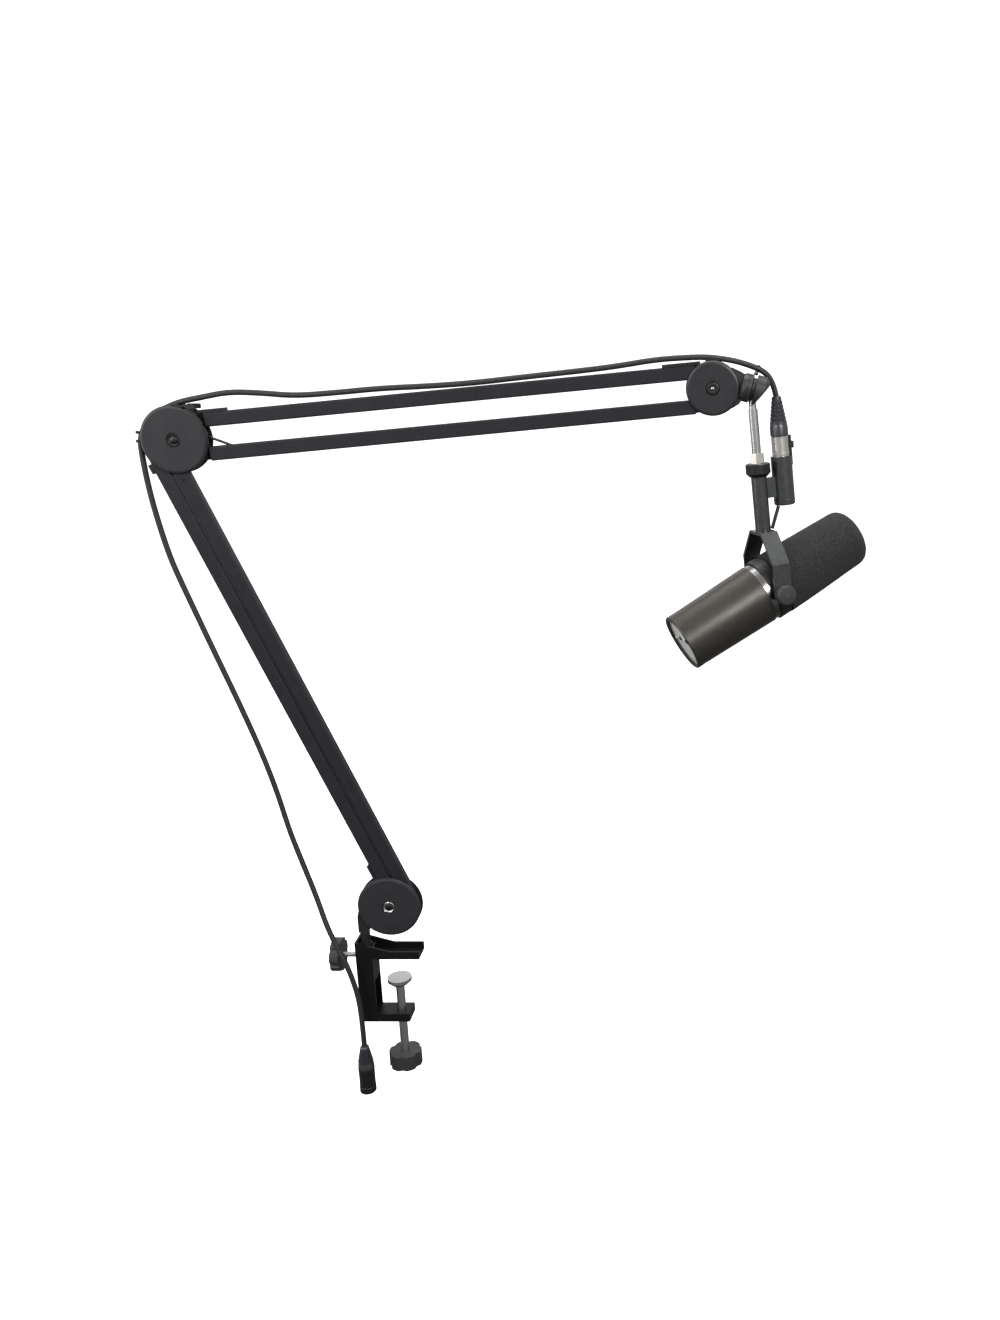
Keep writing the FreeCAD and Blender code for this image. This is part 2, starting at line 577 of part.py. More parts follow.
# Hand-set corners of the lead, from the plug's boot over the arm to the free plug under the desk.
LEAD = {
    "cable_mount": [(436, 10, 638.3), (433, 10, 651.2), (424.8, 8.6, 662.8), (416.9, 7.3, 666.25)],
    "cable_swivel": [(416.9, 7.3, 666.25), (409, 6, 669.7), (390, 3, 675.1), (366, 0.5, 678.2),
                     (355, 0.25, 677.95)],
    "cable_head": [(355, 0.25, 677.95), (344, 0, 677.7), (312, 0, 675.6), (291, 0, 672.1)],
    "cable_upper": [(291, 0, 672.1), (270, 0, 668.6), (228, 0, 663.7), (178, 0, 658.4), (126, 0, 652.5),
                    (80, 0, 649.3), (30, 0, 647.1), (-14, 0, 642.9), (-36, 0, 641.2)],
    "cable_over_elbow": [(-36, 0, 641.2), (-58, 0, 639.5), (-92, 0, 642.4), (-126, 0, 643.6), (-140, 0, 640.9)],
    "cable_elbow_rim": [(-140, 0, 640.9), (-154, 0, 638.2), (-178, 0, 633.6), (-199, 0, 624.6), (-214, 0, 612.6),
                        (-223, 0, 597.5), (-223.1, 0, 587)],
    "cable_lower": [(-223.1, 0, 587), (-223.2, 0, 576.5), (-220.2, 0, 541), (-214.5, 0, 505), (-206.5, 0, 467),
                    (-193, 0, 427), (-172.8, 0, 368), (-151, 0, 306), (-141.75, 0, 277.5)],
    "cable_shoulder": [(-141.75, 0, 277.5), (-132.5, 0, 249), (-119.5, -1.5, 202), (-110, -3.5, 158),
                       (-104.25, -5, 140)],
    "cable_base": [(-104.25, -5, 140), (-98.5, -6.5, 122), (-83.5, -11, 77), (-72, -18, 40),
                   (-61.75, -21.5, 19.5)],
    "cable_tail": [(-61.75, -21.5, 19.5), (-51.5, -25, -1), (-42, -26, -38), (-40, -26, -72),
                   (-40, -26, -106)],
}
LEAD_START, LEAD_END = LEAD["cable_mount"][0], LEAD["cable_tail"][-1]


def lead_tube(name, corners):
    """Round lead through its corners: straight runs with a tangent arc at each corner.

    A stretch that meets another one ends halfway along a run, so that run counts double at its corner.
    """
    spots = [Vector(*corner) for corner in corners]
    path, last = [], spots[0]
    for i in range(1, len(spots) - 1):
        back, ahead = spots[i - 1] - spots[i], spots[i + 1] - spots[i]
        half_turn = (math.pi - back.getAngle(ahead)) / 2
        back_run = back.Length * (2 if i == 1 and corners[0] != LEAD_START else 1)
        ahead_run = ahead.Length * (2 if i == len(spots) - 2 and corners[-1] != LEAD_END else 1)
        trim = 0.45 * min(back_run, ahead_run)
        back.normalize()
        ahead.normalize()
        enter, leave = spots[i] + back * trim, spots[i] + ahead * trim
        radius = trim / math.tan(half_turn)
        bisector = (back + ahead).normalize()
        middle = spots[i] + bisector * (radius / math.cos(half_turn) - radius)
        print(f"{name} corner {i}: bend radius {radius:.0f} mm")
        path.append(Part.LineSegment(last, enter).toShape())
        path.append(Part.Arc(enter, middle, leave).toShape())
        last = leave
    path.append(Part.LineSegment(last, spots[-1]).toShape())
    route = Part.Wire(path)
    radius = dim("cable_radius")
    section = Part.Wire(Part.makeCircle(radius, spots[0], spots[1] - spots[0]))
    tube = route.makePipeShell([section], True, False)
    ratio = tube.Volume / (math.pi * radius ** 2 * route.Length)
    print(f"{name}: length {route.Length:.1f} mm, volume over section times length {ratio:.4f}")
    feature = doc.addObject("Part::Feature", name)
    feature.Shape = tube
    return feature, route.Length


lead_length = 0
for name, corners in LEAD.items():
    feature, stretch = lead_tube(name, corners)
    node(name, feature)
    lead_length += stretch
print(f"lead length {lead_length:.0f} mm")

node("free_plug", group("free_plug_set", [
    turned("free_plug_boot", [(0, 0), (4.4, 0), (5, -1), (7.4, -14), (9.2, -22), (9.2, -28), (0, -28)]),
    turned("free_plug_shell", [
        (0, -28), (9.5, -28), (9.5, -60), (8, -60), (8, -46), (0, -46)]),
]), LEAD_END)


# ---------------------------------------------------------------- check and write

doc.recompute()
for item in doc.Objects:
    if "Invalid" in item.State or "Error" in item.State:
        raise RuntimeError(f"{item.Label} failed: {item.State}")
for piece in nodes:
    if piece.Shape.isNull() or not piece.Shape.isValid():
        raise RuntimeError(f"{piece.Label} has no valid shape")

os.makedirs("parts", exist_ok=True)
for piece in nodes:
    piece.Shape.exportStep(f"parts/{piece.Label}.step")
print(f"{len(nodes)} pieces written")
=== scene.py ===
import json
import math

import bmesh
import bpy
from mathutils import Matrix, Vector


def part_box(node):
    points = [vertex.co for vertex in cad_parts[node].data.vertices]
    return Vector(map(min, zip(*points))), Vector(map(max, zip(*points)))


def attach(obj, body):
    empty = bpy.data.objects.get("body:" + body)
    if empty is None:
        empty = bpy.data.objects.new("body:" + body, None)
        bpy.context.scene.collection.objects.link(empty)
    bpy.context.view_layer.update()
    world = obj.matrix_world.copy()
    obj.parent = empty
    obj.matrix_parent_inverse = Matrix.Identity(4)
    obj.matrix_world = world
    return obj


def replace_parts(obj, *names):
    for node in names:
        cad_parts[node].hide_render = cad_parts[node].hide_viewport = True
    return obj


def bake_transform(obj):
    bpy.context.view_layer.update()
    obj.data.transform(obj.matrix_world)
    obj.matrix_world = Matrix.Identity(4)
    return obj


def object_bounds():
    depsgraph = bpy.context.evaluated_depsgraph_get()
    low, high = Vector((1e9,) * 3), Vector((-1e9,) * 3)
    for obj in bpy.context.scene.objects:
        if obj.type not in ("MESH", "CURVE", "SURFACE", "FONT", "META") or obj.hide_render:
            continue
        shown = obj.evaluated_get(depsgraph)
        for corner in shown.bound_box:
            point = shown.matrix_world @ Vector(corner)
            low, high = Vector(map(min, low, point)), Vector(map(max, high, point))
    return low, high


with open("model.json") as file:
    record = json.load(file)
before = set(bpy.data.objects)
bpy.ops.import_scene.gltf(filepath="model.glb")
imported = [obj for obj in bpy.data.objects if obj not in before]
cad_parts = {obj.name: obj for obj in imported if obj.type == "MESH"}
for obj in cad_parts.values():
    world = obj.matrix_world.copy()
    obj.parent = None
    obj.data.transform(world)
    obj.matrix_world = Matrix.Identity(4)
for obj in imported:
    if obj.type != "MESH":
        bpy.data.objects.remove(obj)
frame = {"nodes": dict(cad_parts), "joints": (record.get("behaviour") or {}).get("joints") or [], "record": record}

# A broadcast microphone in a yoke on a desk-clamped boom arm. Metres; the arm lies in the XZ plane.

cad_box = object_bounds()
X, Y, Z = Vector((1, 0, 0)), Vector((0, 1, 0)), Vector((0, 0, 1))
MM = 0.001
joints = {joint["name"]: joint for joint in frame["joints"]}


def joint_point(name):
    return Vector(joints[name]["pos_m"])


def joint_axis(name):
    return Vector(joints[name]["axis"]).normalized()


def node_centre(name):
    low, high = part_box(name)
    return (Vector(low) + Vector(high)) / 2


mount_point = joint_point("mic_tilt")
mount_up = joint_axis("mount_turn")
mount_back = -joint_axis("mic_tilt")
mount_right = mount_back.cross(mount_up)
mic_side = joint_axis("switch_1_slide")
mic_front = mic_side.cross(mount_back)


# ---------------------------------------------------------------- camera, light and floor

def camera_of_the_photograph():
    camera = bpy.data.objects.new("camera", bpy.data.cameras.new("camera"))
    camera.location = (0.380, -1.259, 0.714)
    camera.rotation_euler = (math.radians(90 - 15.8), 0, 0)
    camera.data.sensor_width = 36
    camera.data.lens = 32.73
    camera.data.shift_x = -0.1682
    bpy.context.collection.objects.link(camera)
    bpy.context.scene.camera = camera


def softbox(name, place, target, size, power):
    light = bpy.data.objects.new(name, bpy.data.lights.new(name, "AREA"))
    light.data.shape = "RECTANGLE"
    light.data.size, light.data.size_y = size
    light.data.energy = power
    light.location = place
    light.rotation_euler = (Vector(target) - Vector(place)).to_track_quat("-Z", "Y").to_euler()
    bpy.context.collection.objects.link(light)


def studio():
    """Light that is stronger from above, from a dim room and five softboxes."""
    world = bpy.data.worlds.new("studio")
    bpy.context.scene.world = world
    world.use_nodes = True
    tree = world.node_tree
    direction = tree.nodes.new("ShaderNodeTexCoord")
    parts = tree.nodes.new("ShaderNodeSeparateXYZ")
    height = tree.nodes.new("ShaderNodeMapRange")
    height.inputs["From Min"].default_value = -0.7
    height.inputs["From Max"].default_value = 0.7
    height.inputs["To Min"].default_value = 0.1
    height.inputs["To Max"].default_value = 0.75
    tree.links.new(direction.outputs["Generated"], parts.inputs["Vector"])
    tree.links.new(parts.outputs["Z"], height.inputs["Value"])
    background = tree.nodes["Background"]
    background.inputs["Color"].default_value = (1, 1, 1, 1)
    tree.links.new(height.outputs["Result"], background.inputs["Strength"])
    bpy.context.scene.view_settings.view_transform = "Standard"
    softbox("key", (-0.9, -1.5, 1.25), (-0.1, 0, 0.6), (0.9, 0.9), 13)
    softbox("right", (1.2, -1.35, 1.3), (0.43, 0, 0.44), (0.35, 0.6), 20)
    softbox("side", (-1.3, -0.6, 0.8), (0.4, 0, 0.55), (0.4, 1.1), 9)
    softbox("top", (0.3, 0.3, 2.0), (0.2, 0, 0.5), (1.6, 0.8), 16)
    softbox("back", (0.2, 1.9, 1.1), (0.1, 0, 0.4), (1.8, 0.8), 3)


def backdrop():
    """White floor and surroundings that add no light of their own to the object."""
    bpy.ops.mesh.primitive_plane_add(size=60, location=(0, 0, cad_box[0][2] - 0.02))
    bpy.context.object.name = "floor"
    bpy.ops.mesh.primitive_uv_sphere_add(segments=48, ring_count=24, radius=25)
    bpy.context.object.name = "surroundings"
    for name in ("floor", "surroundings"):
        piece = bpy.data.objects[name]
        white = plain(name + "_white", (0.9, 0.9, 0.9), 0.9)
        shader = white.node_tree.nodes["Principled BSDF"]
        shader.inputs["Emission Color"].default_value = (1, 1, 1, 1)
        shader.inputs["Emission Strength"].default_value = 0.75 if name == "floor" else 1.0
        piece.data.materials.append(white)
        piece.visible_diffuse = piece.visible_glossy = piece.visible_transmission = False
    bpy.data.objects["surroundings"].visible_shadow = False


# ---------------------------------------------------------------- materials

def new_material(name):
    material = bpy.data.materials.new(name)
    material.use_nodes = True
    tree = material.node_tree
    return material, tree, tree.nodes["Principled BSDF"]


def plain(name, color, roughness):
    material, tree, shader = new_material(name)
    shader.inputs["Base Color"].default_value = (*color, 1)
    shader.inputs["Roughness"].default_value = roughness
    return material


def noise(tree, scale, detail=3.0, stretch=(1, 1, 1)):
    """Noise in the object's own space, its grain drawn out by stretch."""
    place = tree.nodes.new("ShaderNodeTexCoord")
    mapping = tree.nodes.new("ShaderNodeMapping")
    mapping.inputs["Scale"].default_value = stretch
    texture = tree.nodes.new("ShaderNodeTexNoise")
    texture.inputs["Scale"].default_value = scale
    texture.inputs["Detail"].default_value = detail
    tree.links.new(place.outputs["Object"], mapping.inputs["Vector"])
    tree.links.new(mapping.outputs["Vector"], texture.inputs["Vector"])
    return texture.outputs["Fac"]


def spread(tree, value, low, high):
    """Map a noise's middle range onto low to high."""
    spreader = tree.nodes.new("ShaderNodeMapRange")
    spreader.inputs["From Min"].default_value = 0.3
    spreader.inputs["From Max"].default_value = 0.7
    spreader.inputs["To Min"].default_value = low
    spreader.inputs["To Max"].default_value = high
    tree.links.new(value, spreader.inputs["Value"])
    return spreader.outputs["Result"]


def mix(tree, factor, first, second):
    blender = tree.nodes.new("ShaderNodeMix")
    blender.data_type = "RGBA"
    blender.inputs["A"].default_value = (*first, 1)
    blender.inputs["B"].default_value = (*second, 1)
    tree.links.new(factor, blender.inputs["Factor"])
    return blender.outputs["Result"]


def bump(tree, shader, height, strength, distance):
    node = tree.nodes.new("ShaderNodeBump")
    node.inputs["Strength"].default_value = strength
    node.inputs["Distance"].default_value = distance
    tree.links.new(height, node.inputs["Height"])
    tree.links.new(node.outputs["Normal"], shader.inputs["Normal"])


def shades(color, amount):
    return [tuple(channel * (1 + way * amount) for channel in color) for way in (-1, 1)]


def coated(name, color, roughness, metallic=0.0, specular=0.5, grain=2600, relief=0.1, mottle=0.12):
    """Paint, powder coat or moulded plastic: a fine grain over broad, faint changes of tone."""
    material, tree, shader = new_material(name)
    dark, light = shades(color, mottle)
    tone = spread(tree, noise(tree, 38, 5), 0, 1)
    tree.links.new(mix(tree, tone, dark, light), shader.inputs["Base Color"])
    polish = spread(tree, noise(tree, 120, 4), roughness - 0.05, roughness + 0.07)
    tree.links.new(polish, shader.inputs["Roughness"])
    shader.inputs["Metallic"].default_value = metallic
    shader.inputs["Specular IOR Level"].default_value = specular
    bump(tree, shader, noise(tree, grain, 2), relief, 0.0002)
    return material


def metal(name, color, roughness, stretch=(1, 1, 30), relief=0.03):
    """Bare or plated metal with drawn-out polishing marks."""
    material, tree, shader = new_material(name)
    dark, light = shades(color, 0.06)
    marks = noise(tree, 420, 3, stretch)
    tree.links.new(mix(tree, spread(tree, marks, 0, 1), dark, light), shader.inputs["Base Color"])
    tree.links.new(spread(tree, marks, roughness - 0.03, roughness + 0.06), shader.inputs["Roughness"])
    shader.inputs["Metallic"].default_value = 1.0
    bump(tree, shader, marks, relief, 0.0001)
    return material


def open_foam(name):
    """Open-cell foam: small round pores, darkened towards their middles as painted shade."""
    material, tree, shader = new_material(name)
    place = tree.nodes.new("ShaderNodeTexCoord")
    pores = tree.nodes.new("ShaderNodeTexVoronoi")
    pores.inputs["Scale"].default_value = 900
    tree.links.new(place.outputs["Object"], pores.inputs["Vector"])
    ridge = tree.nodes.new("ShaderNodeMapRange")
    ridge.inputs["From Min"].default_value = 0.1
    ridge.inputs["From Max"].default_value = 0.6
    tree.links.new(pores.outputs["Distance"], ridge.inputs["Value"])
    # Painted shade: the colour darkens from the pore walls towards each pore's middle.
    walls_and_painted_pore_shade = mix(tree, ridge.outputs["Result"], (0.006, 0.006, 0.006), (0.036, 0.036, 0.035))
    tree.links.new(walls_and_painted_pore_shade, shader.inputs["Base Color"])
    shader.inputs["Roughness"].default_value = 1.0
    shader.inputs["Specular IOR Level"].default_value = 0.15
    shader.inputs["Sheen Weight"].default_value = 0.05
    bump(tree, shader, ridge.outputs["Result"], 0.8, 0.0006)
    return material


def cable_sheath(name):
    """Matte rubber with faint, uneven changes of tone."""
    material, tree, shader = new_material(name)
    tone = spread(tree, noise(tree, 260, 4), 0, 1)
    tree.links.new(mix(tree, tone, (0.009, 0.009, 0.01), (0.02, 0.02, 0.021)), shader.inputs["Base Color"])
    tree.links.new(spread(tree, noise(tree, 700, 3), 0.5, 0.68), shader.inputs["Roughness"])
    bump(tree, shader, noise(tree, 1500, 2), 0.18, 0.0002)
    return material


def make_materials():
    coatings = {
        "arm_black": dict(color=(0.017, 0.017, 0.021), roughness=0.46, specular=0.22, grain=3200, relief=0.12),
        "disc_black": dict(color=(0.021, 0.0216, 0.024), roughness=0.38, specular=0.35, grain=3600, relief=0.16),
        "clamp_black": dict(color=(0.005, 0.005, 0.006), roughness=0.38, specular=0.2, grain=3000, relief=0.14),
        "knob_black": dict(color=(0.028, 0.028, 0.029), roughness=0.52, grain=2400, relief=0.18),
        "swivel_black": dict(color=(0.022, 0.022, 0.024), roughness=0.45, specular=0.4, grain=2800, relief=0.14),
        # core_black is near-black for black clips, ties and the free plug, and also serves as painted shade: on
        # the head's cup washer and on the rear plate's ring.
        "core_black": dict(color=(0.003, 0.003, 0.0035), roughness=0.42, grain=3000, relief=0.1),
        "boot_rubber": dict(color=(0.018, 0.019, 0.025), roughness=0.3, specular=0.9, grain=2000, relief=0.1),
        "mic_grey": dict(color=(0.055, 0.05, 0.043), roughness=0.36, metallic=0.6, grain=5200, relief=0.2,
                         mottle=0.06),
        "yoke_grey": dict(color=(0.1, 0.103, 0.103), roughness=0.27, metallic=0.85, relief=0.01, mottle=0.05),
        "rear_grey": dict(color=(0.7, 0.7, 0.69), roughness=0.35, relief=0.08, mottle=0.2),
    }
    metals = {
        "silver": ((0.2, 0.196, 0.19), 0.22),
        "steel": ((0.5, 0.5, 0.51), 0.3),
        "chrome": ((0.52, 0.51, 0.51), 0.3),
        "nickel": ((0.68, 0.65, 0.61), 0.28),
        "spring_steel": ((0.06, 0.06, 0.065), 0.4),
        "grille": ((0.3, 0.3, 0.3), 0.45),
    }
    made = {name: coated(name, **look) for name, look in coatings.items()}
    made.update({name: metal(name, color, roughness) for name, (color, roughness) in metals.items()})
    made["foam"] = open_foam("foam")
    made["cable_rubber"] = cable_sheath("cable_rubber")
    return made


def dress_cad_parts():
    """Give every CAD part its slot's material, and the fine rounded edges of a real one."""
    widths = {"base_plates": 0.3, "elbow_plates": 0.3, "head_plates": 0.3, "yoke": 0.6, "lock_knob": 1.0,
              "clamp_handle": 1.0, "clamp_frame": 0.5, "head_nose": 0.8, "swivel_head": 0.9, "rear_rim": 0.3}
    for entry in frame["record"]["subparts"]:
        part = frame["nodes"][entry["node"]]
        part.data.materials.clear()
        part.data.materials.append(materials[entry["material_slot"]])
        rounding = part.modifiers.new("rounded_edges", "BEVEL")
        rounding.width = widths.get(entry["node"], 0.35) * MM
        rounding.segments = 2
        rounding.limit_method = "ANGLE"
        rounding.angle_limit = math.radians(40)
        rounding.harden_normals = True


# ---------------------------------------------------------------- mesh helpers

def finish_mesh(name, mesh_data, slot, body, sharp=40):
    """Turn a bmesh into a smooth piece of one material that rides on a body."""
    mesh = bpy.data.meshes.new(name)
    bmesh.ops.recalc_face_normals(mesh_data, faces=mesh_data.faces)
    mesh_data.to_mesh(mesh)
    mesh_data.free()
    mesh.shade_smooth()
    mesh.set_sharp_from_angle(angle=math.radians(sharp))
    piece = bpy.data.objects.new(name, mesh)
    bpy.context.collection.objects.link(piece)
    mesh.materials.append(materials[slot])
    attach(piece, body)
    return piece


def facing(origin, axis):
    """Matrix that puts +Z along an axis, at an origin."""
    return Matrix.Translation(origin) @ Z.rotation_difference(axis).to_matrix().to_4x4()


def lathe(profile, origin, axis, steps=72):
    """Surface of revolution about an axis from (radius, height) points in millimetres."""
    data = bmesh.new()
    rings = []
    for radius, height in profile:
        if radius < 1e-6:
            rings.append([data.verts.new((0, 0, height * MM))] * steps)
            continue
        rings.append([data.verts.new((radius * MM * math.cos(2 * math.pi * i / steps),
                                      radius * MM * math.sin(2 * math.pi * i / steps), height * MM))
                      for i in range(steps)])
    for lower, upper in zip(rings, rings[1:]):
        for i in range(steps):
            corners = [lower[i], lower[(i + 1) % steps], upper[(i + 1) % steps], upper[i]]
            data.faces.new(list(dict.fromkeys(corners)))
    bmesh.ops.transform(data, matrix=facing(origin, axis), verts=data.verts)
    return data


def cross_prism(origin, axis, reach, half_width, low, high):
    """Cross-shaped prism along an axis, sizes in millimetres."""
    data = bmesh.new()
    corners = []
    for turn in range(4):
        cosine, sine = math.cos(math.pi / 2 * turn), math.sin(math.pi / 2 * turn)
        for x, y in ((half_width, half_width), (reach, half_width), (reach, -half_width)):
            corners.append((x * cosine + y * sine, y * cosine - x * sine))
    rings = [[data.verts.new((x * MM, y * MM, height * MM)) for x, y in corners] for height in (low, high)]
    data.faces.new(rings[0][::-1])
    data.faces.new(rings[1])
    for i in range(len(corners)):
        after = (i + 1) % len(corners)
        data.faces.new((rings[0][i], rings[0][after], rings[1][after], rings[1][i]))
    bmesh.ops.transform(data, matrix=facing(origin, axis), verts=data.verts)
    return data


def ring_round(centre, axis, inner, outer, width):
    """Rounded band about an axis, sizes in millimetres."""
    half = width / 2
    bevel = min(0.35, (outer - inner) / 3, half / 2)
    profile = [(inner, -half), (outer - bevel, -half), (outer, bevel - half), (outer, half - bevel),
               (outer - bevel, half), (inner, half), (inner, -half)]
    return lathe(profile, centre, axis, 36)


def brick(data, centre, sides, size):
    """Add a box with three given side directions and sizes in millimetres."""
    added = bmesh.ops.create_cube(data, size=1)["verts"]
    columns = [side * extent * MM for side, extent in zip(sides, size)]
    turn = Matrix(columns).transposed().to_4x4()
    bmesh.ops.transform(data, matrix=Matrix.Translation(centre) @ turn, verts=added)
    edges = list({edge for vert in added for edge in vert.link_edges})
    bmesh.ops.bevel(data, geom=edges, offset=0.12 * min(size) * MM, segments=2, affect="EDGES")


# ---------------------------------------------------------------- lead

# Corners of the lead, stretch by stretch, from the plug's boot to the free plug behind the clamp.
LEAD = {
    "cable_mount": [(0.436, 0.01, 0.6383), (0.433, 0.01, 0.6512), (0.4248, 0.0086, 0.6628),
                    (0.4169, 0.0073, 0.66625)],
    "cable_swivel": [(0.4169, 0.0073, 0.66625), (0.409, 0.006, 0.6697), (0.39, 0.003, 0.6751),
                     (0.366, 0.0005, 0.6782), (0.355, 0.00025, 0.67795)],
    "cable_head": [(0.355, 0.00025, 0.67795), (0.344, 0, 0.6777), (0.312, 0, 0.6756), (0.291, 0, 0.6721)],
    "cable_upper": [(0.291, 0, 0.6721), (0.27, 0, 0.6686), (0.228, 0, 0.6637), (0.178, 0, 0.6584),
                    (0.126, 0, 0.6525), (0.08, 0, 0.6493), (0.03, 0, 0.6471), (-0.014, 0, 0.6429),
                    (-0.036, 0, 0.6412)],
    "cable_over_elbow": [(-0.036, 0, 0.6412), (-0.058, 0, 0.6395), (-0.092, 0, 0.6424), (-0.126, 0, 0.6436),
                         (-0.14, 0, 0.6409)],
    "cable_elbow_rim": [(-0.14, 0, 0.6409), (-0.154, 0, 0.6382), (-0.178, 0, 0.6336), (-0.199, 0, 0.6246),
                        (-0.214, 0, 0.6126), (-0.223, 0, 0.5975), (-0.2231, 0, 0.587)],
    "cable_lower": [(-0.2231, 0, 0.587), (-0.2232, 0, 0.5765), (-0.2202, 0, 0.541), (-0.2145, 0, 0.505),
                    (-0.2065, 0, 0.467), (-0.193, 0, 0.427), (-0.1728, 0, 0.368), (-0.151, 0, 0.306),
                    (-0.14175, 0, 0.2775)],
    "cable_shoulder": [(-0.14175, 0, 0.2775), (-0.1325, 0, 0.249), (-0.1195, -0.0015, 0.202),
                       (-0.11, -0.0035, 0.158), (-0.10425, -0.005, 0.14)],
    "cable_base": [(-0.10425, -0.005, 0.14), (-0.0985, -0.0065, 0.122), (-0.0835, -0.011, 0.077),
                   (-0.072, -0.018, 0.04), (-0.06175, -0.0215, 0.0195)],
    "cable_tail": [(-0.06175, -0.0215, 0.0195), (-0.0515, -0.025, -0.001), (-0.042, -0.026, -0.038),
                   (-0.04, -0.026, -0.072), (-0.04, -0.026, -0.106)],
}
RIDERS = {"cable_upper": "upper_main", "cable_lower": "lower_main", "cable_tail": "root"}
CABLE_RADIUS = 0.003


def lead_line(name, points, radius):
    """Smooth spline through a stretch's corners, as a round cable or, with no radius, as a bare line."""
    curve = bpy.data.curves.new(name, "CURVE")
    curve.dimensions = "3D"
    spline = curve.splines.new("NURBS")
    spline.points.add(len(points) - 1)
    for point, corner in zip(spline.points, points):
        point.co = (*corner, 1)
    spline.order_u = 3
    spline.use_endpoint_u = True
    spline.resolution_u = 10
    curve.bevel_depth = radius
    curve.bevel_resolution = 5
    piece = bpy.data.objects.new(name, curve)
    bpy.context.collection.objects.link(piece)
    return piece


def mesh_of(piece):
    bpy.context.view_layer.update()
    return bpy.data.meshes.new_from_object(piece.evaluated_get(bpy.context.evaluated_depsgraph_get()))


def bending_lead(name, points):
    """A stretch that crosses a joint: a mesh tube, with the line that it follows."""
    bare = lead_line(name + "_line", points, 0)
    path = [tuple(vertex.co) for vertex in mesh_of(bare).vertices]
    round_curve = lead_line(name + "_round", points, CABLE_RADIUS)
    mesh = mesh_of(round_curve)
    for helper in (bare, round_curve):
        bpy.data.objects.remove(helper)
    mesh.shade_smooth()
    tube = bpy.data.objects.new("lead_" + name[6:], mesh)
    bpy.context.collection.objects.link(tube)
    tube.data.materials.clear()
    tube.data.materials.append(materials["cable_rubber"])
    return tube, path


def ribbed(first, last, small, large):
    """Profile of a strain relief's ribs between two heights, growing from a small to a large radius."""
    profile = []
    for i in range(6):
        height = first + (last - first) * i / 6
        rib = (last - first) / 6
        radius = small + (large - small) * i / 5
        profile += [(radius, height), (radius, height + rib * 0.62), (radius - 0.7, height + rib * 0.68),
                    (radius - 0.7, height + rib * 0.94)]
    return profile


def free_plug():
    """Black cable connector at the lead's far end."""
    low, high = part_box("free_plug")
    end = Vector(((low[0] + high[0]) / 2, (low[1] + high[1]) / 2, high[2]))
    relief = [(0, 0), (4.2, 0), (4.9, -1)] + ribbed(-2, -22, 5.4, 8.8) + [(9.2, -24), (9.2, -28), (0, -28)]
    boot = finish_mesh("free_boot", lathe(relief, end, Z, 64), "boot_rubber", "root", 30)
    shell = [(0, -28), (9.3, -28), (9.5, -28.6), (9.5, -31), (9.2, -31.4), (9.2, -52), (9.5, -52.4),
             (9.5, -59.4), (9, -60), (8, -60), (8, -46), (0, -46)]
    barrel = finish_mesh("free_shell", lathe(shell, end, Z, 64), "core_black", "root", 30)
    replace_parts(barrel, "free_plug")
    return [boot, barrel]


def lead():
    for name, points in LEAD.items():
        path, far_end, extras = None, "object", []
        if name in RIDERS:
            piece = lead_line("lead_" + name[6:], points, CABLE_RADIUS)
            piece.data.materials.append(materials["cable_rubber"])
            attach(piece, RIDERS[name])
        else:
            piece, path = bending_lead(name, points)
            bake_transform(piece)
        if name == "cable_tail":
            far_end, extras = "plug", free_plug()
        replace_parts(piece, name)


# ---------------------------------------------------------------- clips and ties on the lead

def tie(name, centre, along, body, head_side):
    """Cable tie: a band round the lead, its square head and a short tail."""
    along = Vector(along).normalized()
    side = Vector(head_side)
    side = (side - along * side.dot(along)).normalized()
    across = along.cross(side)
    data = ring_round(Vector(centre), along, 3.02, 4.0, 2.6)
    brick(data, Vector(centre) + side * 0.0052, (along, across, side), (3.6, 4.2, 3.0))
    brick(data, Vector(centre) + side * 0.0062 + across * 0.004, (along, across, side), (2.2, 5.0, 0.9))
    return finish_mesh(name, data, "core_black", body)


def clips():
    """Black clips that hold the lead on the discs, and a tie at the swivel."""
    low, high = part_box("head_plates")
    saddle = bmesh.new()
    brick(saddle, ((low[0] + high[0]) / 2, 0, high[2] - 0.0005), (X, Y, Z), (15, 6.4, 4))
    finish_mesh("head_clip", saddle, "core_black", "head")
    tie("swivel_tie", (0.4169, 0.0073, 0.66625), (-15.8, -2.6, 6.9), "swivel", (-0.4, -0.3, -1))

    elbow = node_centre("elbow_plates")
    strap = bmesh.new()
    for rim in (-Y * 0.0071, Y * 0.0071):
        for i in range(10):
            angle = math.radians(30 + 6 * i)
            radial = Vector((math.cos(angle), 0, math.sin(angle)))
            tangent = Vector((-math.sin(angle), 0, math.cos(angle)))
            brick(strap, elbow + rim + radial * 0.0353, (tangent, Y, radial), (4.2, 3.4, 2.6))
        brick(strap, elbow + rim + Vector((0.019, 0, 0.0335)), (X, Y, Z), (13, 3.4, 5))
        for angle in (178, 192):
            radial = Vector((math.cos(math.radians(angle)), 0, -math.sin(math.radians(angle))))
            brick(strap, elbow + rim + radial * 0.0365, (radial.cross(Y), Y, radial), (2.8, 3.4, 4.4))
    finish_mesh("elbow_clip", strap, "core_black", "elbow")


# ---------------------------------------------------------------- screws in the disc centres

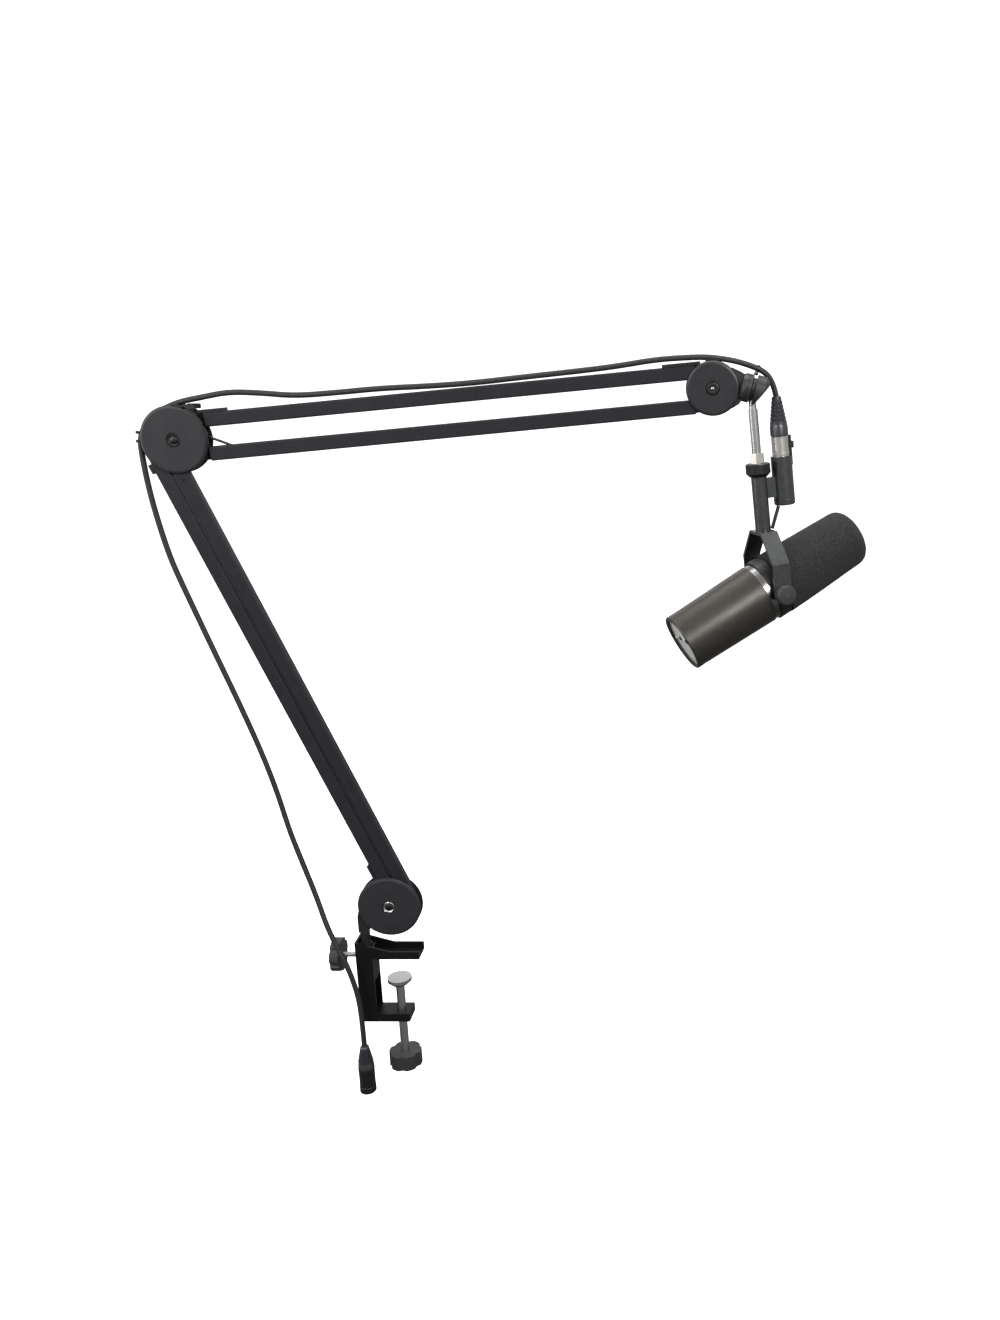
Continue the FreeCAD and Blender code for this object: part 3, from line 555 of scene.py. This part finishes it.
def screw_head(name, seat, outward, radius, slot, body, recess):
    """Domed screw head on its seat, with a cross or a hexagonal recess."""
    dome = [(0, 0), (radius, 0), (radius, 0.8), (radius * 0.94, 1.25), (radius * 0.7, 1.75),
            (radius * 0.36, 2.05), (0, 2.15)]
    piece = finish_mesh(name, lathe(dome, seat, outward, 48), slot, body, 30)
    if recess == "cross":
        cutter = cross_prism(seat, outward, radius * 0.58, radius * 0.15, 0.6, 4)
    else:
        width = radius * 0.42
        cutter = lathe([(0, 0.7), (width, 0.7), (width, 4), (0, 4)], seat, outward, 6)
    tool = finish_mesh(name + "_tool", cutter, slot, body)
    carve = piece.modifiers.new("recess", "BOOLEAN")
    carve.object = tool
    carve.solver = "EXACT"
    carved = mesh_of(piece)
    piece.modifiers.clear()
    piece.data = carved
    carved.set_sharp_from_angle(angle=math.radians(30))
    bpy.data.objects.remove(tool)
    return piece


def disc_screws():
    """The pins, and the screws and cup washers that stand in the middle of the discs; the head's near-black cup
    washer is painted shade in its recess.
    """
    recess_depth = 1.9 * MM
    styles = {
        "base": ("spring_steel", "cross", 4.6, "chrome"),
        "elbow": ("core_black", "dome", 4.3, "disc_black"),
        # The head's cup is near-black core_black: painted shade that darkens the recess round its small chrome
        # screw.
        "head": ("chrome", "hexagon", 2.1, "core_black"),
    }
    pivots = {"base": ("shoulder", "lower_follow"), "elbow": ("elbow_level", "elbow", "upper_follow"),
              "head": ("head_level",)}
    for body, (slot, recess, radius, cup_slot) in styles.items():
        centre = node_centre(body + "_plates")
        centre.y = 0
        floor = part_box(body + "_plates")[1][1] - recess_depth
        pins = bmesh.new()
        for name in pivots[body]:
            pin = lathe([(0, -6.8), (2.5, -6.8), (2.5, 6.8), (0, 6.8)], joint_point(name), Y, 32)
            mesh = bpy.data.meshes.new("pin")
            pin.to_mesh(mesh)
            pins.from_mesh(mesh)
            pin.free()
        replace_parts(finish_mesh(body + "_pins", pins, "steel", body), body + "_fasteners")
        for side, outward in (("front", -Y), ("back", Y)):
            seat = centre + outward * floor
            cup = [(radius - 0.2, 0), (6.4, 0), (6.5, 0.9), (5.9, 1.3), (radius + 0.4, 0.5), (radius - 0.2, 0.4)]
            finish_mesh(f"{body}_cup_{side}", lathe(cup, seat, outward, 64), cup_slot, body, 50)
            if recess == "dome":
                dome = [(0, 0.2), (4.4, 0.2), (4.3, 1.1), (3.5, 1.9), (2.1, 2.45), (0, 2.65)]
                finish_mesh(f"{body}_screw_{side}", lathe(dome, seat, outward, 48), slot, body, 60)
            else:
                screw_head(f"{body}_screw_{side}", seat, outward, radius, slot, body, recess)


# ---------------------------------------------------------------- microphone

def on_mic(height):
    return mount_point + mic_front * height * MM


def foam_windscreen():
    """Foam sleeve with a domed nose, slightly uneven as foam is."""
    first, last, nose = 7.8, 118.0, 24.0
    profile = [(0, first), (26, first), (34.2, first), (34.9, first + 0.9)]
    for i in range(1, 23):
        height = first + 1 + (last - nose - first - 1) * i / 22
        profile.append((35.0 - 2.9 * (i / 22) ** 1.3, height))
    side = profile[-1][0]
    for i in range(1, 16):
        part = math.sin(math.pi / 2 * i / 16)
        profile.append((side * (1 - part ** 3.4) ** (1 / 2.2), last - nose + nose * part))
    profile.append((0, last))
    piece = finish_mesh("foam_sleeve", lathe(profile, mount_point, mic_front, 96), "foam", "mic", 60)
    lumps = bpy.data.textures.new("foam_lumps", "CLOUDS")
    lumps.noise_scale = 0.006
    push = piece.modifiers.new("uneven", "DISPLACE")
    push.texture = lumps
    push.strength = 0.0005
    push.mid_level = 0.7
    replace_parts(piece, "foam_windscreen")


def rear_details():
    """Screws on the recessed rear plate, and a thin near-black ring on it: painted shade of an engraved groove."""
    rear = -mic_front
    face = on_mic(-108.6)
    up = mic_side
    for i, turn in enumerate((90, 270)):
        angle = math.radians(turn)
        spot = face + (up * math.cos(angle) + mount_back * math.sin(angle)) * 0.0225
        screw_head(f"rear_screw_{i + 1}", spot, rear, 1.9, "steel", "mic", "cross")
    # Painted shade: a low near-black ridge drawn in place of the dark inside an engraved groove.
    painted_groove_shade = lathe([(24.4, 0.0), (25.0, 0.25), (25.6, 0.0)], face, rear, 96)
    finish_mesh("rear_ring", painted_groove_shade, "core_black", "mic")


def plug_details():
    """Ribbed strain relief and rings on the connector."""
    axis_point = mount_point + mount_right * 27.3 * MM
    profile = [(0, 158.5), (9.5, 158.5), (9.5, 167.5), (9.1, 169)]
    profile += ribbed(171, 195, 8.9, 5.9) + [(5.0, 197.8), (4.4, 198.6), (0, 198.6)]
    boot = finish_mesh("boot", lathe(profile, axis_point, mount_up, 64), "boot_rubber", "mount", 30)
    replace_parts(boot, "plug_boot")
    rings = {
        "plug_ring_lower": (140.2, 8.8, 9.15, 1.6, "nickel"),
        "plug_ring_upper": (156.6, 8.8, 9.15, 1.6, "nickel"),
        "barrel_ring": (91.5, 11.0, 11.5, 1.8, "yoke_grey"),
    }
    for name, (height, inner, outer, width, slot) in rings.items():
        band = ring_round(axis_point + mount_up * height * MM, mount_up, inner, outer, width)
        finish_mesh(name, band, slot, "mount")


# ---------------------------------------------------------------- scene

camera_of_the_photograph()
materials = make_materials()
studio()
backdrop()
lead()
dress_cad_parts()
clips()
disc_screws()
foam_windscreen()
rear_details()
plug_details()
